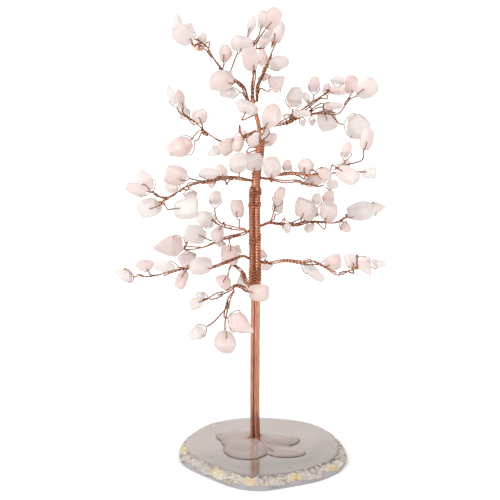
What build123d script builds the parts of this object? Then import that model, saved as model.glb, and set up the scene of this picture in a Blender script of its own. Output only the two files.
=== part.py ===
from build123d import *
import math
import os
from collections import namedtuple

import numpy as np

# Gemstone tree ornament: pink quartz chips on twisted copper wire, over a polished agate slice.
# Millimetres, +Z up, +X to the viewer's right and +Y away. The origin is on the underside of the
# slice, below the foot of the trunk.

# Overall sizes
tree_height = 265.0
crown_reach = 82.0
crown_depth = 45.0
slice_thick = 6.0
slice_reach = 53.0
slice_bevel = 1.0
rind_foot = 2.5
mound_reach = 27.0
mound_height = 4.5

# Copper wire sizes, each a radius to the corners of its flat-sided section
strand_radius = 1.45
stem_radius = 2.7
leader_radius = 1.35
limb_radius = 1.0
side_limb_radius = 0.75
twig_radius = 0.5
loop_radius = 0.3
root_radius = 0.55
binding_radius = 0.36

# Stone sizes
chip_length = 12.0
hole_edge = 1.4
neck_drop = 2.0
leg_spread = 0.45

# Clearances
wire_gap = 0.15
strand_gap = 0.15
body_gap = 0.4
seat_gap = 0.1
binding_gap = 0.12
cut_over = 1.0
depth_step = 1.5

# Three strands lie against each other in a triangle about the trunk's line
strand_half = strand_radius + strand_gap / 2
strand_out = 2 * strand_half / math.sqrt(3)
strand_places = ((-strand_half, -strand_out / 2), (strand_half, -strand_out / 2), (0, strand_out))
bundle_reach = strand_out + strand_radius

# Counts and angles
limb_sides = 6
wire_sides = 3
hole_sides = 4
binding_sides = 4
strand_sides = 8
bore_sides = 12
turn_samples = 40
next_turn_samples = 60
bend_degrees = 5.0
depth_tries = 16
foot_turns = (0, 50, -50, 100, -100)
pose_pairs = ((0, 0), (0, 1), (0, 2), (1, 0), (2, 0), (1, 1), (2, 2))
roll_degrees = 22.0
roll_rate = 2.4
lean_limit_share = 0.6
approach_share = 0.35
parallel_share = 1e-9

# A direction that no wire runs along, which the corners of each flat-sided tube start from
odd_way_shares = (0.31, 0.9, 0.27)

# Where the photograph shows things, in its own pixels: the trunk's axis, the foot and the top of the
# tree, and how far the crown reaches from the axis
axis_pixel = 255.0
foot_pixel = 440.0
rise_pixels = 431.0
reach_pixels = 137.0

# The eye stands in front of the tree and above it, so what is higher or nearer looks larger
eye_distance_share = 3.45
eye_height_share = 1.325
near_share = 0.067

# Trunk line, from the foot to the top, in pixels: the bare strands, the two wrapped bundles, the
# wrapped stem and the bare leader
strand_line_pixels = ((255, 440), (254.5, 380), (255, 300), (255, 285))
bundle_line_pixels = ((255, 285), (255, 250), (254.5, 204), (255.5, 187))
stem_line_pixels = ((255.5, 187), (257, 170), (260, 150), (259.5, 141))
leader_line_pixels = ((259.5, 141), (258.5, 125), (254, 108), (252, 95))

# Bindings of heavier wire: lowest and highest pixel row, and the number of half turns
binding_rows_pixels = {
    "knot_binding": (282.5, 267.5, 11),
    "middle_binding": (243.0, 235.0, 5),
    "upper_binding": (206.5, 202.5, 4),
    "collar_binding": (195.5, 189.5, 5),
}

# Agate slice and resin mound: places of their middles and the run of their rims. The rind slopes in
# to the polished face over levels given as (size, shift to the back, rise above its foot). The
# resin shrinks towards the foot of the trunk over levels given as (size, height).
slice_middle_shares = (0.09, -0.26)
slice_rim_shares = (0.97, 0.97, 0.99, 1.03, 1.055, 1.05, 1.045, 1.055, 1.07, 1.075, 1.07, 1.04, 1.01, 0.985,
                    0.97, 0.965, 0.93, 0.9, 0.91, 0.96, 1.025, 1.035, 0.98, 0.965, 0.97, 0.985, 0.99, 0.985)
rind_level_shares = ((0.955, 0.035, 0.6), (0.89, 0.08, 1.0))
mound_middle_shares = (0.06, -0.2)
mound_rim_shares = (0.93, 0.87, 0.8, 0.74, 0.72, 0.8, 0.93, 1.0, 1.0, 1.0, 0.9, 0.85, 0.88, 1.0, 1.08,
                    1.05, 0.96, 1.08, 1.17, 1.07)
mound_level_shares = ((1.0, 0.0), (0.94, 0.37), (0.6, 0.52), (0.32, 1.0))

# Root wires under the resin: turn in degrees, and length in shares of the mound's reach, then how
# they come down, as shares of that length and of the height that they leave the trunk at
root_runs = ((297, 0.92), (122, 0.5), (215, 0.6), (20, 0.55))
root_rise_share = 0.45
root_fall_shares = ((0.0, 1.0), (0.33, 0.25), (0.67, 0.0), (1.0, 0.0))

# Chip forms: the corners of a section in half widths and half thicknesses, the forms that are
# drilled from front to back instead of from side to side, then levels along the chip as (height
# share, section share, sideways share)
chip_thick_share = 0.72
hole_height_share = 0.28
chip_room_share = 0.58
neck_room_share = 0.25
least_run_share = 0.02
chip_section_shares = (
    ((1.0, 0.1), (0.35, 0.95), (-0.8, 0.75), (-0.95, -0.4), (0.15, -1.0)),
    ((0.95, -0.2), (0.5, 0.9), (-0.6, 0.95), (-1.0, -0.15), (-0.1, -0.95)),
    ((0.95, 0.1), (0.7, 0.85), (-0.85, 0.8), (-0.98, -0.7), (0.8, -0.8)),
    ((0.98, 0.3), (-0.2, 1.0), (-0.98, 0.35), (-0.6, -0.8), (0.65, -0.85)),
)
faced_forms = ("block", "peak")
chip_level_shares = {
    "pebble": ((0.0, 0.5, 0.0), (0.45, 1.0, 0.0), (1.0, 0.55, 0.05)),
    "drop": ((0.0, 0.6, 0.0), (0.36, 1.0, 0.0), (1.0, 0.18, 0.1)),
    "block": ((0.0, 0.66, 0.0), (0.5, 1.0, 0.0), (1.0, 0.8, -0.05)),
    "peak": ((0.0, 0.45, 0.0), (0.55, 1.0, 0.0), (1.0, 0.38, -0.1)),
}

# Sprays. A limb leaves the trunk at a pixel row and a turn about it (0 is right, 90 away, 180 left),
# or leaves the first limb at a share of its length. Its points are (across, row) in pixels, then
# how far back in shares of the crown's depth. Each chip is (across, row) in pixels, its length
# and width in shares of chip_length, its tilt clockwise from upright, where its twig leaves the
# limb in shares of the limb's length, how much further back than the limb it lies, and its form.
Limb = namedtuple("Limb", "leaves points chips")

spray_pixels = {
    "top_left": ((101, 180), (
        Limb(0, ((243, 87, -0.05), (232, 78.5, -0.12), (222, 70, -0.2), (213, 59, -0.27),
                 (206, 47.5, -0.33), (196, 40.5, -0.38)), (
            (176.8, 23.2, 0.88, 0.6, -15, 1.0, 0.0, "pebble"),
            (184, 34.5, 0.95, 1.0, -35, 0.96, -0.15, "block"),
            (190, 30.5, 0.7, 0.5, -10, 0.92, 0.1, "pebble"),
            (202, 38, 0.55, 0.5, 20, 0.84, 0.2, "pebble"),
            (198, 47.5, 0.5, 0.45, -120, 0.78, 0.25, "pebble"),
            (225.5, 53, 0.87, 0.75, 10, 0.5, 0.0, "peak"),
            (241, 44, 0.7, 1.25, 22, 0.4, -0.1, "block"),
            (221.5, 80.5, 1.05, 1.15, -80, 0.26, -0.1, "block"),
            (228, 93, 0.85, 0.55, -90, 0.1, -0.15, "pebble"))),
    )),
    "top_centre": ((99, 275), (
        Limb(0, ((252.5, 86, -0.08), (254, 74, -0.05), (253.5, 62, 0.02), (253, 50, 0.05),
                 (252.5, 40, 0.06)), (
            (250.5, 58.7, 1.1, 0.85, -8, 0.55, -0.3, "block"),
            (252, 24.5, 0.9, 0.5, 20, 1.0, 0.0, "peak"),
            (262.5, 19, 0.88, 0.55, 12, 0.96, -0.1, "block"),
            (272.5, 18.5, 0.95, 0.85, 35, 0.9, 0.1, "block"),
            (268, 35, 0.65, 0.45, 30, 0.84, -0.15, "pebble"),
            (264, 42, 0.6, 0.5, 50, 0.78, 0.0, "pebble"))),
    )),
    "top_right": ((101, 0), (
        Limb(0, ((257.5, 87, 0.06), (262, 76, 0.14), (268, 62, 0.24), (272, 50, 0.3),
                 (275, 42, 0.34)), (
            (276.5, 31.5, 1.05, 0.9, 12, 1.0, 0.0, "block"),
            (263, 57, 0.85, 0.55, -15, 0.55, 0.1, "pebble"),
            (278.8, 63, 0.95, 0.8, 65, 0.6, -0.2, "pebble"),
            (277.8, 81, 0.92, 0.85, 40, 0.2, -0.1, "drop"),
            (266, 76.5, 0.5, 0.4, 80, 0.35, 0.1, "pebble"))),
    )),
    "heart": ((141, 0), (
        Limb(0, leader_line_pixels, (
            (247, 108, 0.6, 1.25, 20, 0.6, -0.2, "block"),
            (271.5, 116.5, 1.3, 1.05, 25, 0.3, -0.15, "peak"),
            (266, 126, 0.95, 0.5, 10, 0.1, 0.15, "pebble"))),
        Limb(0, stem_line_pixels, (
            (254, 138.5, 0.85, 0.65, 25, 0.85, -0.25, "drop"),
            (269.5, 140, 0.88, 0.75, 75, 0.8, 0.1, "peak"),
            (253.5, 162.3, 0.85, 1.0, 0, 0.3, -0.25, "block"))),
    )),
    "upper_left": ((131, 180), (
        Limb(0, ((249, 134, 0.08), (241, 139, 0.18), (230, 143, 0.3), (218, 140.5, 0.42),
                 (204.5, 131.5, 0.55), (194, 123, 0.62), (187, 117.5, 0.66)), (
            (171.5, 95.5, 0.95, 0.5, -25, 1.0, 0.05, "pebble"),
            (180.5, 98, 1.05, 0.5, -8, 0.97, -0.15, "peak"),
            (183, 111, 0.7, 0.65, -40, 0.94, 0.15, "pebble"),
            (200, 116.5, 0.65, 0.9, -15, 0.75, 0.0, "block"),
            (180.5, 147.5, 1.2, 1.2, -115, 0.76, 0.0, "pebble"),
            (171.5, 147.5, 0.45, 0.45, -110, 0.8, 0.3, "pebble"),
            (227.5, 145.5, 0.9, 0.85, -120, 0.3, -0.25, "block"),
            (213.5, 151.5, 0.7, 0.5, -120, 0.46, 0.15, "pebble"),
            (244.5, 134, 0.4, 0.4, -20, 0.12, 0.15, "pebble"),
            (238, 143.5, 0.75, 0.6, 185, 0.2, 0.1, "pebble"))),
    )),
    "upper_right": ((129, 0), (
        Limb(0, ((268, 126, 0.12), (282, 123.5, 0.26), (298, 118, 0.4), (312, 113.5, 0.5),
                 (326, 112, 0.58), (338, 112.5, 0.62), (346, 103, 0.64), (351, 97, 0.64)), (
            (294.3, 96.7, 1.0, 0.9, 8, 0.22, -0.1, "pebble"),
            (302, 114, 0.9, 0.4, 80, 0.3, -0.2, "pebble"),
            (351, 84.5, 0.9, 0.75, 0, 1.0, 0.0, "block"),
            (367, 89, 1.0, 1.0, 60, 0.96, 0.1, "block"),
            (334, 106, 0.9, 0.5, 80, 0.56, -0.2, "pebble"),
            (326.5, 120, 1.05, 1.15, 165, 0.52, 0.0, "block"),
            (303, 123, 0.32, 0.3, 165, 0.34, 0.0, "pebble"),
            (312.5, 122.5, 0.32, 0.3, 170, 0.42, 0.0, "pebble"),
            (358.8, 126.5, 1.15, 1.4, 100, 0.76, 0.0, "pebble"))),
        Limb(0.34, ((306, 108, 0.46), (314, 101.5, 0.5), (323, 95, 0.54), (330, 89.5, 0.56)), (
            (314.5, 84, 0.75, 0.65, 5, 0.4, 0.1, "pebble"),
            (307, 97.7, 0.6, 0.45, -20, 0.2, -0.15, "peak"),
            (327, 88, 0.45, 0.45, 0, 0.75, 0.15, "pebble"),
            (338, 91, 0.75, 0.55, 90, 0.94, -0.15, "block"),
            (338.5, 80, 0.4, 0.7, 20, 1.0, 0.1, "pebble"))),
    )),
    "mid_right": ((178, 0), (
        Limb(0, ((269, 178.5, -0.08), (277, 174.5, -0.16), (290, 173, -0.28), (303, 174, -0.38),
                 (315, 173.5, -0.46), (327, 173, -0.53), (338, 170, -0.59), (345, 166.5, -0.62)), (
            (272, 166.7, 1.0, 0.95, 0, 0.1, -0.05, "block"),
            (287.5, 165.5, 0.5, 0.5, 10, 0.28, 0.15, "pebble"),
            (306, 166.3, 0.82, 0.9, 10, 0.48, 0.0, "peak"),
            (325, 174, 0.65, 0.65, 100, 0.6, -0.2, "pebble"),
            (343.7, 165.5, 0.6, 0.6, 40, 0.92, 0.2, "pebble"),
            (347, 175, 1.0, 0.85, 120, 0.84, -0.1, "block"),
            (347.3, 149.5, 0.75, 0.6, 10, 0.95, 0.0, "pebble"),
            (369, 172.8, 0.68, 0.62, 95, 1.0, 0.0, "block"),
            (366.5, 139, 0.98, 0.72, 15, 0.98, 0.1, "block"))),
        Limb(0.05, ((284, 181.5, -0.1), (297, 180.5, -0.18), (308, 184, -0.25), (318, 185, -0.3)), (
            (315, 180, 0.95, 0.7, 75, 0.62, -0.2, "block"),
            (332.5, 184, 0.6, 0.55, 85, 1.0, 0.0, "pebble"))),
    )),
    "mid_left": ((180, 180), (
        Limb(0, ((241, 178.5, -0.1), (230, 177.5, -0.2), (215, 180, -0.32), (198, 183.5, -0.44),
                 (186, 187, -0.52), (176, 194, -0.58), (165, 200.5, -0.63), (159, 203, -0.65)), (
            (239, 162.5, 1.0, 0.95, 0, 0.1, -0.1, "pebble"),
            (222.5, 172, 0.85, 0.65, -20, 0.25, 0.15, "peak"),
            (208.5, 173, 0.55, 1.1, -5, 0.4, -0.1, "pebble"),
            (211, 184, 0.4, 0.5, 170, 0.36, 0.1, "pebble"),
            (175.5, 175, 1.0, 1.1, -75, 0.55, 0.0, "block"),
            (171.5, 187.5, 0.7, 0.6, -90, 0.64, 0.15, "pebble"),
            (190.5, 195.5, 0.5, 0.7, 170, 0.58, 0.1, "pebble"),
            (185.8, 208.5, 1.12, 1.15, 85, 0.96, -0.1, "block"),
            (144.5, 180.5, 0.95, 0.85, -40, 0.88, 0.1, "pebble"),
            (136, 189, 1.0, 0.72, -75, 0.95, -0.1, "pebble"),
            (149.5, 207, 1.1, 1.1, -110, 1.0, 0.0, "block"))),
    )),
    "centre_left": ((231, 180), (
        Limb(0, ((242, 233.5, 0.12), (233, 236, 0.22), (222, 239.5, 0.34), (208, 246, 0.48),
                 (195, 249.8, 0.58), (186, 250.3, 0.64)), (
            (220, 244, 0.35, 0.6, 180, 0.4, 0.1, "pebble"),
            (168, 246.5, 1.5, 1.2, -98, 1.0, 0.0, "drop"),
            (195, 234.5, 1.03, 1.05, -70, 0.5, 0.0, "block"),
            (188, 259.5, 0.85, 1.05, 170, 0.86, 0.0, "pebble"),
            (229.5, 254.5, 0.92, 0.95, 180, 0.22, -0.1, "block"))),
        Limb(0.05, ((238, 228.5, 0.2), (229, 227, 0.28), (220, 224, 0.35), (212.5, 218, 0.4)), (
            (216, 197.5, 0.7, 0.7, 5, 0.9, 0.0, "pebble"),
            (238, 208.5, 0.85, 0.8, -5, 0.15, 0.0, "block"),
            (205, 219, 0.95, 0.95, -75, 1.0, 0.0, "pebble"),
            (217.5, 234, 0.82, 0.78, -150, 0.6, 0.0, "peak"))),
    )),
    "centre_right": ((226, 0), (
        Limb(0, ((270, 223, 0.12), (283, 224, 0.24), (299, 224.5, 0.36), (312, 221, 0.46),
                 (325, 222, 0.54), (337, 221, 0.6), (348, 215, 0.63)), (
            (279.5, 195.5, 0.9, 0.6, 18, 0.12, -0.1, "pebble"),
            (278, 206, 0.6, 0.65, 20, 0.1, 0.2, "pebble"),
            (305.5, 209.3, 0.9, 1.35, 20, 0.28, -0.1, "block"),
            (329.5, 196, 0.6, 0.65, 20, 0.6, 0.15, "pebble"),
            (317, 199, 0.6, 0.55, 0, 0.5, 0.0, "pebble"),
            (329.5, 212, 0.95, 1.0, 12, 0.66, -0.15, "block"),
            (361, 212, 1.3, 1.1, 72, 1.0, -0.1, "block"),
            (378.5, 208, 0.8, 0.7, 80, 0.97, 0.25, "drop"),
            (346, 227, 0.65, 0.55, 130, 0.84, 0.0, "pebble"),
            (287.6, 228, 0.45, 0.55, 160, 0.22, 0.0, "pebble"),
            (310, 228, 0.45, 0.6, 165, 0.38, 0.0, "pebble"))),
    )),
    "low_left": ((258, 180), (
        Limb(0, ((242, 256, -0.12), (229, 261, -0.24), (211, 267.5, -0.36), (189, 269, -0.48),
                 (175, 271, -0.55), (159, 276, -0.6), (146, 277.5, -0.64), (138, 276, -0.65)), (
            (145, 265, 0.7, 0.95, -20, 0.9, 0.0, "peak"),
            (164, 266.5, 1.05, 0.6, -90, 0.56, 0.1, "pebble"),
            (122.5, 274.5, 0.95, 0.8, -90, 1.0, 0.0, "drop"),
            (181.5, 279.5, 0.85, 0.6, -155, 0.48, 0.0, "block"),
            (201, 265.5, 1.0, 1.0, -80, 0.26, -0.25, "block"))),
    )),
    "low_inner": ((289, 155), (
        Limb(0, ((246, 281, 0.14), (243, 273, 0.2), (238, 268, 0.28), (232, 265, 0.34),
                 (229, 270, 0.4)), (
            (237.5, 249, 0.45, 0.4, 0, 0.75, 0.05, "pebble"),
            (224.7, 281.7, 0.8, 1.05, 200, 1.0, 0.0, "peak"),
            (243, 282, 0.65, 0.75, 170, 0.45, 0.1, "block"))),
    )),
    "hanging": ((291, 200), (
        Limb(0, ((245, 288, -0.14), (236, 285.5, -0.24), (228, 291, -0.34), (217, 295, -0.42)), (
            (200.3, 296, 0.5, 0.45, -80, 1.0, 0.1, "pebble"),
            (195.8, 303, 0.62, 0.6, -110, 0.96, -0.1, "block"),
            (258.5, 293, 0.95, 0.95, 90, 0.3, -0.05, "block"))),
        Limb(0.62, ((228.5, 299, -0.42), (227, 309, -0.48)), (
            (197, 333, 0.75, 0.7, -125, 0.9, 0.0, "pebble"),
            (225, 342, 1.1, 1.2, 180, 1.0, 0.0, "peak"),
            (242, 324, 1.3, 1.1, 105, 0.8, 0.1, "drop"))),
    )),
    "low_right": ((262, 0), (
        Limb(0, ((268, 263, -0.1), (276, 261.5, -0.18), (286, 260.5, -0.28), (302, 262.5, -0.4),
                 (313, 260.5, -0.47), (325, 266.5, -0.54), (338, 273.5, -0.6), (350, 269, -0.64),
                 (358, 268, -0.66)), (
            (332.5, 261.8, 0.82, 0.95, 80, 0.45, 0.0, "block"),
            (314, 272, 1.15, 0.6, 128, 0.36, 0.0, "pebble"),
            (351.4, 261, 0.65, 0.72, -10, 0.88, 0.1, "block"),
            (366, 267, 0.9, 0.7, 140, 1.0, 0.0, "drop"),
            (379, 264, 0.62, 0.42, 85, 1.0, -0.1, "pebble"),
            (261, 254, 0.45, 0.6, -20, 0.06, 0.45, "pebble"),
            (266, 267, 0.3, 0.6, 170, 0.1, 0.4, "pebble"))),
    )),
}


def unit(vector):
    return vector / np.linalg.norm(vector)


def place(across, row, back_share=0.0):
    """The point in the round that the photograph shows at a pixel, at a chosen depth."""
    rise = (foot_pixel - row) / rise_pixels
    reach = (across - axis_pixel) / reach_pixels * crown_reach * (1 + near_share * (0.5 - rise))
    height = slice_thick + tree_height * rise * (1 + near_share * (1 - rise))
    depth = back_share * crown_depth
    spread = 1 + depth / (eye_distance_share * tree_height)
    eye_height = eye_height_share * tree_height
    return np.array([reach * spread, depth, eye_height + (height - eye_height) * spread])


def ringed(rings):
    """A solid with flat sides, from one ring of corners to the next, and closed at both ends."""
    outlines = [rings[0], rings[-1]]
    for low, high in zip(rings, rings[1:]):
        for i in range(len(low)):
            j = (i + 1) % len(low)
            outlines.append([low[i], low[j], high[j], high[i]])
    faces = [Face(Wire.make_polygon([Vector(*p) for p in outline])) for outline in outlines]
    return Solid(Shell(faces))


def tube(points, radius, sides, first_normal=None, last_normal=None):
    """A flat-sided tube in straight runs, mitred where they meet."""
    runs = [unit(b - a) for a, b in zip(points, points[1:])]
    side = unit(np.cross(runs[0], odd_way_shares))
    other = np.cross(runs[0], side)
    turns = [math.tau * (i + 0.5) / sides for i in range(sides)]
    corners = [points[0] + radius * (math.cos(t) * side + math.sin(t) * other) for t in turns]
    normals = [runs[0]] + [unit(a + b) for a, b in zip(runs, runs[1:])] + [runs[-1]]
    if first_normal is not None:
        normals[0] = first_normal
    if last_normal is not None:
        normals[-1] = last_normal
    rings = []
    for point, normal, run in zip(points, normals, [runs[0]] + runs):
        corners = [c + run * (np.dot(point - c, normal) / np.dot(run, normal)) for c in corners]
        rings.append(corners)
    return ringed(rings)


def bore(radius, sides):
    """How far out the corners of a flat-sided bore lie, where its sides just clear a wire."""
    return (radius + wire_gap) / math.cos(math.pi / sides)


def segment_gaps(start_a, end_a, start_b, end_b):
    """Least distances between two sets of straight segments, all pairs at once."""
    a, b = start_a[:, None, :], start_b[None, :, :]
    run_a, run_b = (end_a - start_a)[:, None, :], (end_b - start_b)[None, :, :]
    between = a - b
    aa, bb = (run_a * run_a).sum(-1), (run_b * run_b).sum(-1)
    ab, ac, bc = (run_a * run_b).sum(-1), (run_a * between).sum(-1), (run_b * between).sum(-1)
    skew = np.maximum(aa * bb - ab * ab, aa * bb * parallel_share)
    share_a = np.clip((ab * bc - ac * bb) / skew, 0, 1)
    share_b = np.clip((ab * share_a + bc) / bb, 0, 1)
    share_a = np.clip((ab * share_b - ac) / aa, 0, 1)
    apart = between + share_a[..., None] * run_a - share_b[..., None] * run_b
    return np.sqrt((apart * apart).sum(-1))


def bent(points, hinge, degrees):
    """Points after their spray is bent at its hinge, about a line along Y."""
    c, s = math.cos(math.radians(degrees)), math.sin(math.radians(degrees))
    moved = points - hinge
    return hinge + np.stack([c * moved[..., 0] + s * moved[..., 2], moved[..., 1],
                             c * moved[..., 2] - s * moved[..., 0]], -1)


class Space:
    """The room taken so far, as thick segments, at rest and with each spray bent either way."""

    def __init__(self):
        self.owners, self.starts, self.ends, self.radii = [], [], [], []

    def poses(self, segments, hinge):
        starts = np.array([s[0] for s in segments])
        ends = np.array([s[1] for s in segments])
        turns = (0, bend_degrees, -bend_degrees) if hinge is not None else (0, 0, 0)
        middle = starts[0] if hinge is None else hinge
        return (np.stack([bent(starts, middle, t) for t in turns]),
                np.stack([bent(ends, middle, t) for t in turns]))

    def add(self, owner, hinge, segments):
        starts, ends = self.poses(segments, hinge)
        self.owners += [owner] * len(segments)
        self.starts.append(starts)
        self.ends.append(ends)
        self.radii += [s[2] for s in segments]

    def freeze(self):
        """The room as arrays, made once for the many tries of the next piece."""
        return (np.array(self.owners), np.concatenate(self.starts, 1), np.concatenate(self.ends, 1),
                np.array(self.radii))

    def free(self, room, owner, hinge, segments):
        """How far the tightest of the segments stays from all that is placed, over its clearance."""
        owners, starts, ends, radii = room
        own = owners == owner
        mine = self.poses(segments, hinge)
        reach = np.array([s[2] for s in segments])[:, None]
        least = math.inf
        for chosen, pairs, needed in ((own, ((0, 0),), wire_gap), (~own, pose_pairs, body_gap)):
            if not chosen.any():
                continue
            for i, j in pairs:
                gaps = segment_gaps(mine[0][i], mine[1][i], starts[j][chosen], ends[j][chosen])
                least = min(least, (gaps - reach - radii[chosen]).min() - needed)
                if least < 0:
                    return least
        return least


def along_line(points, share):
    """The point and direction at a share of a line's length."""
    lengths = [np.linalg.norm(b - a) for a, b in zip(points, points[1:])]
    left = share * sum(lengths)
    for a, b, length in zip(points, points[1:], lengths):
        if left <= length or b is points[-1]:
            return a + (b - a) * min(left / length, 1), unit(b - a)
        left -= length


def beside(line, share, reach, towards, turn=0.0):
    """A point that lies at a given reach from a line, on the side of what it points at."""
    point, run = along_line(line, share)
    side = towards - point
    side = unit(side - run * np.dot(side, run))
    other = np.cross(run, side)
    t = math.radians(turn)
    return point + reach * (math.cos(t) * side + math.sin(t) * other)


class Chip:
    """A stone with its own frame: its neck end, the way it points, and across it."""

    def __init__(self, index, entry, back_share, foot):
        across, row, length, width, tilt, self.along, self.deeper, self.form = entry
        self.length, self.width = length * chip_length, width * chip_length
        self.thick = chip_thick_share * min(self.length, self.width)
        self.section = chip_section_shares[index % len(chip_section_shares)]
        middle = place(across, row, back_share)
        t = math.radians(tilt)
        lean = np.clip((middle[1] - foot[1]) / np.linalg.norm(middle - foot), -lean_limit_share,
                       lean_limit_share)
        self.up = unit(np.array([math.sin(t), lean, math.cos(t)]))
        side = np.array([math.cos(t), 0, -math.sin(t)])
        facing = np.cross(side, self.up)
        roll = math.radians(roll_degrees * math.sin(index * roll_rate))
        self.across = unit(math.cos(roll) * side + math.sin(roll) * facing)
        self.facing = np.cross(self.across, self.up)
        self.neck = middle - self.up * self.length / 2
        self.wire_end = self.neck - self.up * neck_drop

    def at(self, across, facing, up):
        return self.neck + self.across * across + self.facing * facing + self.up * up

    def level(self, height):
        """The section's share and sideways shift at a height along the chip."""
        levels = chip_level_shares[self.form]
        heights, shares, shifts = zip(*levels)
        share = height / self.length
        return np.interp(share, heights, shares), np.interp(share, heights, shifts) * self.width

    def on_loop(self, out, up):
        """A place in the plane of the chip's loop, which is also the plane of its drilled hole."""
        return self.at(0, out, up) if self.form in faced_forms else self.at(out, 0, up)

    def side(self, height, way):
        """How far the chip reaches at a height, to either side of its line in the loop's plane."""
        share, shift = self.level(height)
        if self.form in faced_forms:
            return share * max(way * corner[1] for corner in self.section) * self.thick / 2
        return way * shift + share * max(way * corner[0] for corner in self.section) * self.width / 2

    def solid(self):
        body = ringed([[self.at(shift * self.width + size * x * self.width / 2,
                                size * y * self.thick / 2, share * self.length)
                        for x, y in self.section]
                       for share, size, shift in chip_level_shares[self.form]])
        ends = [self.on_loop(way * (self.width / 2 + cut_over), self.hole()) for way in (-1, 1)]
        return body - tube(ends, bore(loop_radius, hole_sides), hole_sides)

    def hole(self):
        return max(hole_height_share * self.length, hole_edge)

    def loop(self):
        """The wire's open loop: up one side, through the drilled hole and down the other."""
        stand = loop_radius + wire_gap
        points = []
        for way in (1, -1):
            leg = [self.on_loop(way * leg_spread, -neck_drop),
                   self.on_loop(way * (self.side(0, way) + stand), -stand),
                   self.on_loop(way * (self.side(self.hole(), way) + stand), self.hole())]
            points += leg if way == 1 else leg[::-1]
        return tube(points, loop_radius, wire_sides, self.up, self.up)

    def body_segments(self):
        """The chip as one thick segment, and the legs of its loop as another."""
        longest, shortest = max(self.length, self.width), min(self.length, self.width)
        half = (longest - shortest) / 2 + shortest * least_run_share
        middle = self.neck + self.up * self.length / 2
        along = self.up if self.length >= self.width else self.across
        return [(middle - along * half, middle + along * half, shortest * chip_room_share),
                (self.wire_end, self.neck, self.width * neck_room_share + loop_radius)]


def twig_points(foot, chip):
    """From beside the limb, round one bend, to the end of the chip's loop."""
    run = np.linalg.norm(chip.wire_end - foot)
    return [foot, chip.wire_end - chip.up * run * approach_share, chip.wire_end]


def segments(points, radius):
    return [(a, b, radius) for a, b in zip(points, points[1:])]


def trunk_rounds(row):
    """The round pieces that make the trunk at a pixel row, as places about its line and radii."""
    if row > stem_line_pixels[0][1]:
        return [(place_about, strand_radius) for place_about in strand_places]
    radius = stem_radius if row > leader_line_pixels[0][1] else leader_radius
    return [((0, 0), radius)]


def trunk_point(row):
    """The trunk's centre at a pixel row."""
    line = strand_line_pixels + bundle_line_pixels[1:] + stem_line_pixels[1:] + leader_line_pixels[1:]
    across = np.interp(-row, [-p[1] for p in line], [p[0] for p in line])
    return place(across, row)


def spray_root(row, turn):
    """Where a limb begins, just clear of every round piece of the trunk."""
    way = np.array([math.cos(math.radians(turn)), math.sin(math.radians(turn))])
    out = 0
    for about, radius in trunk_rounds(row):
        reach = radius + limb_radius + wire_gap
        ahead = np.dot(about, way)
        beyond = reach * reach - np.dot(about, about) + ahead * ahead
        if beyond > 0:
            out = max(out, ahead + math.sqrt(beyond))
    return trunk_point(row) + out * np.array([*way, 0])


def lay_sprays():
    """Find each chip's free depth and each twig's foot, nearest to where they are wished."""
    space = Space()
    for line, radius in ((strand_line_pixels, bundle_reach),
                         (bundle_line_pixels, bundle_reach + binding_gap + 2 * binding_radius),
                         (stem_line_pixels, stem_radius), (leader_line_pixels, leader_radius)):
        space.add("heart", None, segments([place(*p) for p in line], radius))
    limbs = {}
    for name, (root, branches) in spray_pixels.items():
        hinge = None if name == "heart" else spray_root(*root)
        limbs[name] = []
        for branch in branches:
            points = [place(*p) for p in branch.points]
            radius = side_limb_radius if limbs[name] else limb_radius
            if name == "heart":
                radius = stem_radius if branch.points is stem_line_pixels else leader_radius
            elif branch.leaves:
                first = limbs[name][0][0]
                points = [beside(first, branch.leaves, limb_radius + radius + wire_gap, points[0])] + points
            else:
                points = [hinge] + points
            limbs[name].append((points, radius, branch))
            if name != "heart":
                space.add(name, hinge, segments(points, radius))
    laid = {}
    index = 0
    for name, spray in limbs.items():
        hinge = None if name == "heart" else spray[0][0][0]
        laid[name] = []
        for points, radius, branch in spray:
            for entry in branch.chips:
                index += 1
                room = space.freeze()
                best = None
                along = entry[5]
                middle, _ = along_line(points, along)
                wished = middle[1] / crown_depth + entry[6]
                for k in range(2 * depth_tries):
                    shift = (k + 1) // 2 * (1 if k % 2 else -1) * depth_step / crown_depth
                    for turn in foot_turns:
                        aim = place(entry[0], entry[1], wished + shift)
                        foot = beside(points, along, radius + twig_radius + wire_gap, aim, turn)
                        chip = Chip(index, entry, wished + shift, foot)
                        twig = twig_points(foot, chip)
                        taken = chip.body_segments() + segments(twig, twig_radius)
                        free = space.free(room, name, hinge, taken)
                        if best is None or free > best[0]:
                            best = (free, chip, twig, taken)
                        if free >= 0:
                            break
                    if best[0] >= 0:
                        break
                if best[0] < 0:
                    print("tight", name, entry[:2], round(float(best[0]), 2))
                space.add(name, hinge, best[3])
                laid[name].append(best[1:3])
    return limbs, laid


def rim(middle, reach, shares, height):
    """A closed run of rim points, at even turns about a middle."""
    turns = [math.tau * i / len(shares) for i in range(len(shares))]
    return [Vector(middle[0] + reach * s * math.cos(t), middle[1] + reach * s * math.sin(t), height)
            for s, t in zip(shares, turns)]


def agate_slice():
    across, back = [share * slice_reach for share in slice_middle_shares]
    levels = [(slice_reach - slice_bevel, 0, 0), (slice_reach, 0, slice_bevel), (slice_reach, 0, rind_foot)]
    levels += [(slice_reach * size, slice_reach * shift, rind_foot + (slice_thick - rind_foot) * rise)
               for size, shift, rise in rind_level_shares]
    return ringed([rim((across, back + shift), reach, slice_rim_shares, height)
                   for reach, shift, height in levels])


def root_points(turn, length):
    t = math.radians(turn)
    way = np.array([math.cos(t), math.sin(t), 0])
    start = bundle_reach + 2 * wire_gap + root_radius
    low = slice_thick + root_radius + seat_gap
    run = length * mound_reach - start
    rise = root_rise_share * mound_height
    return [way * (start + run * along) + np.array([0, 0, low + rise * up])
            for along, up in root_fall_shares]


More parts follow.
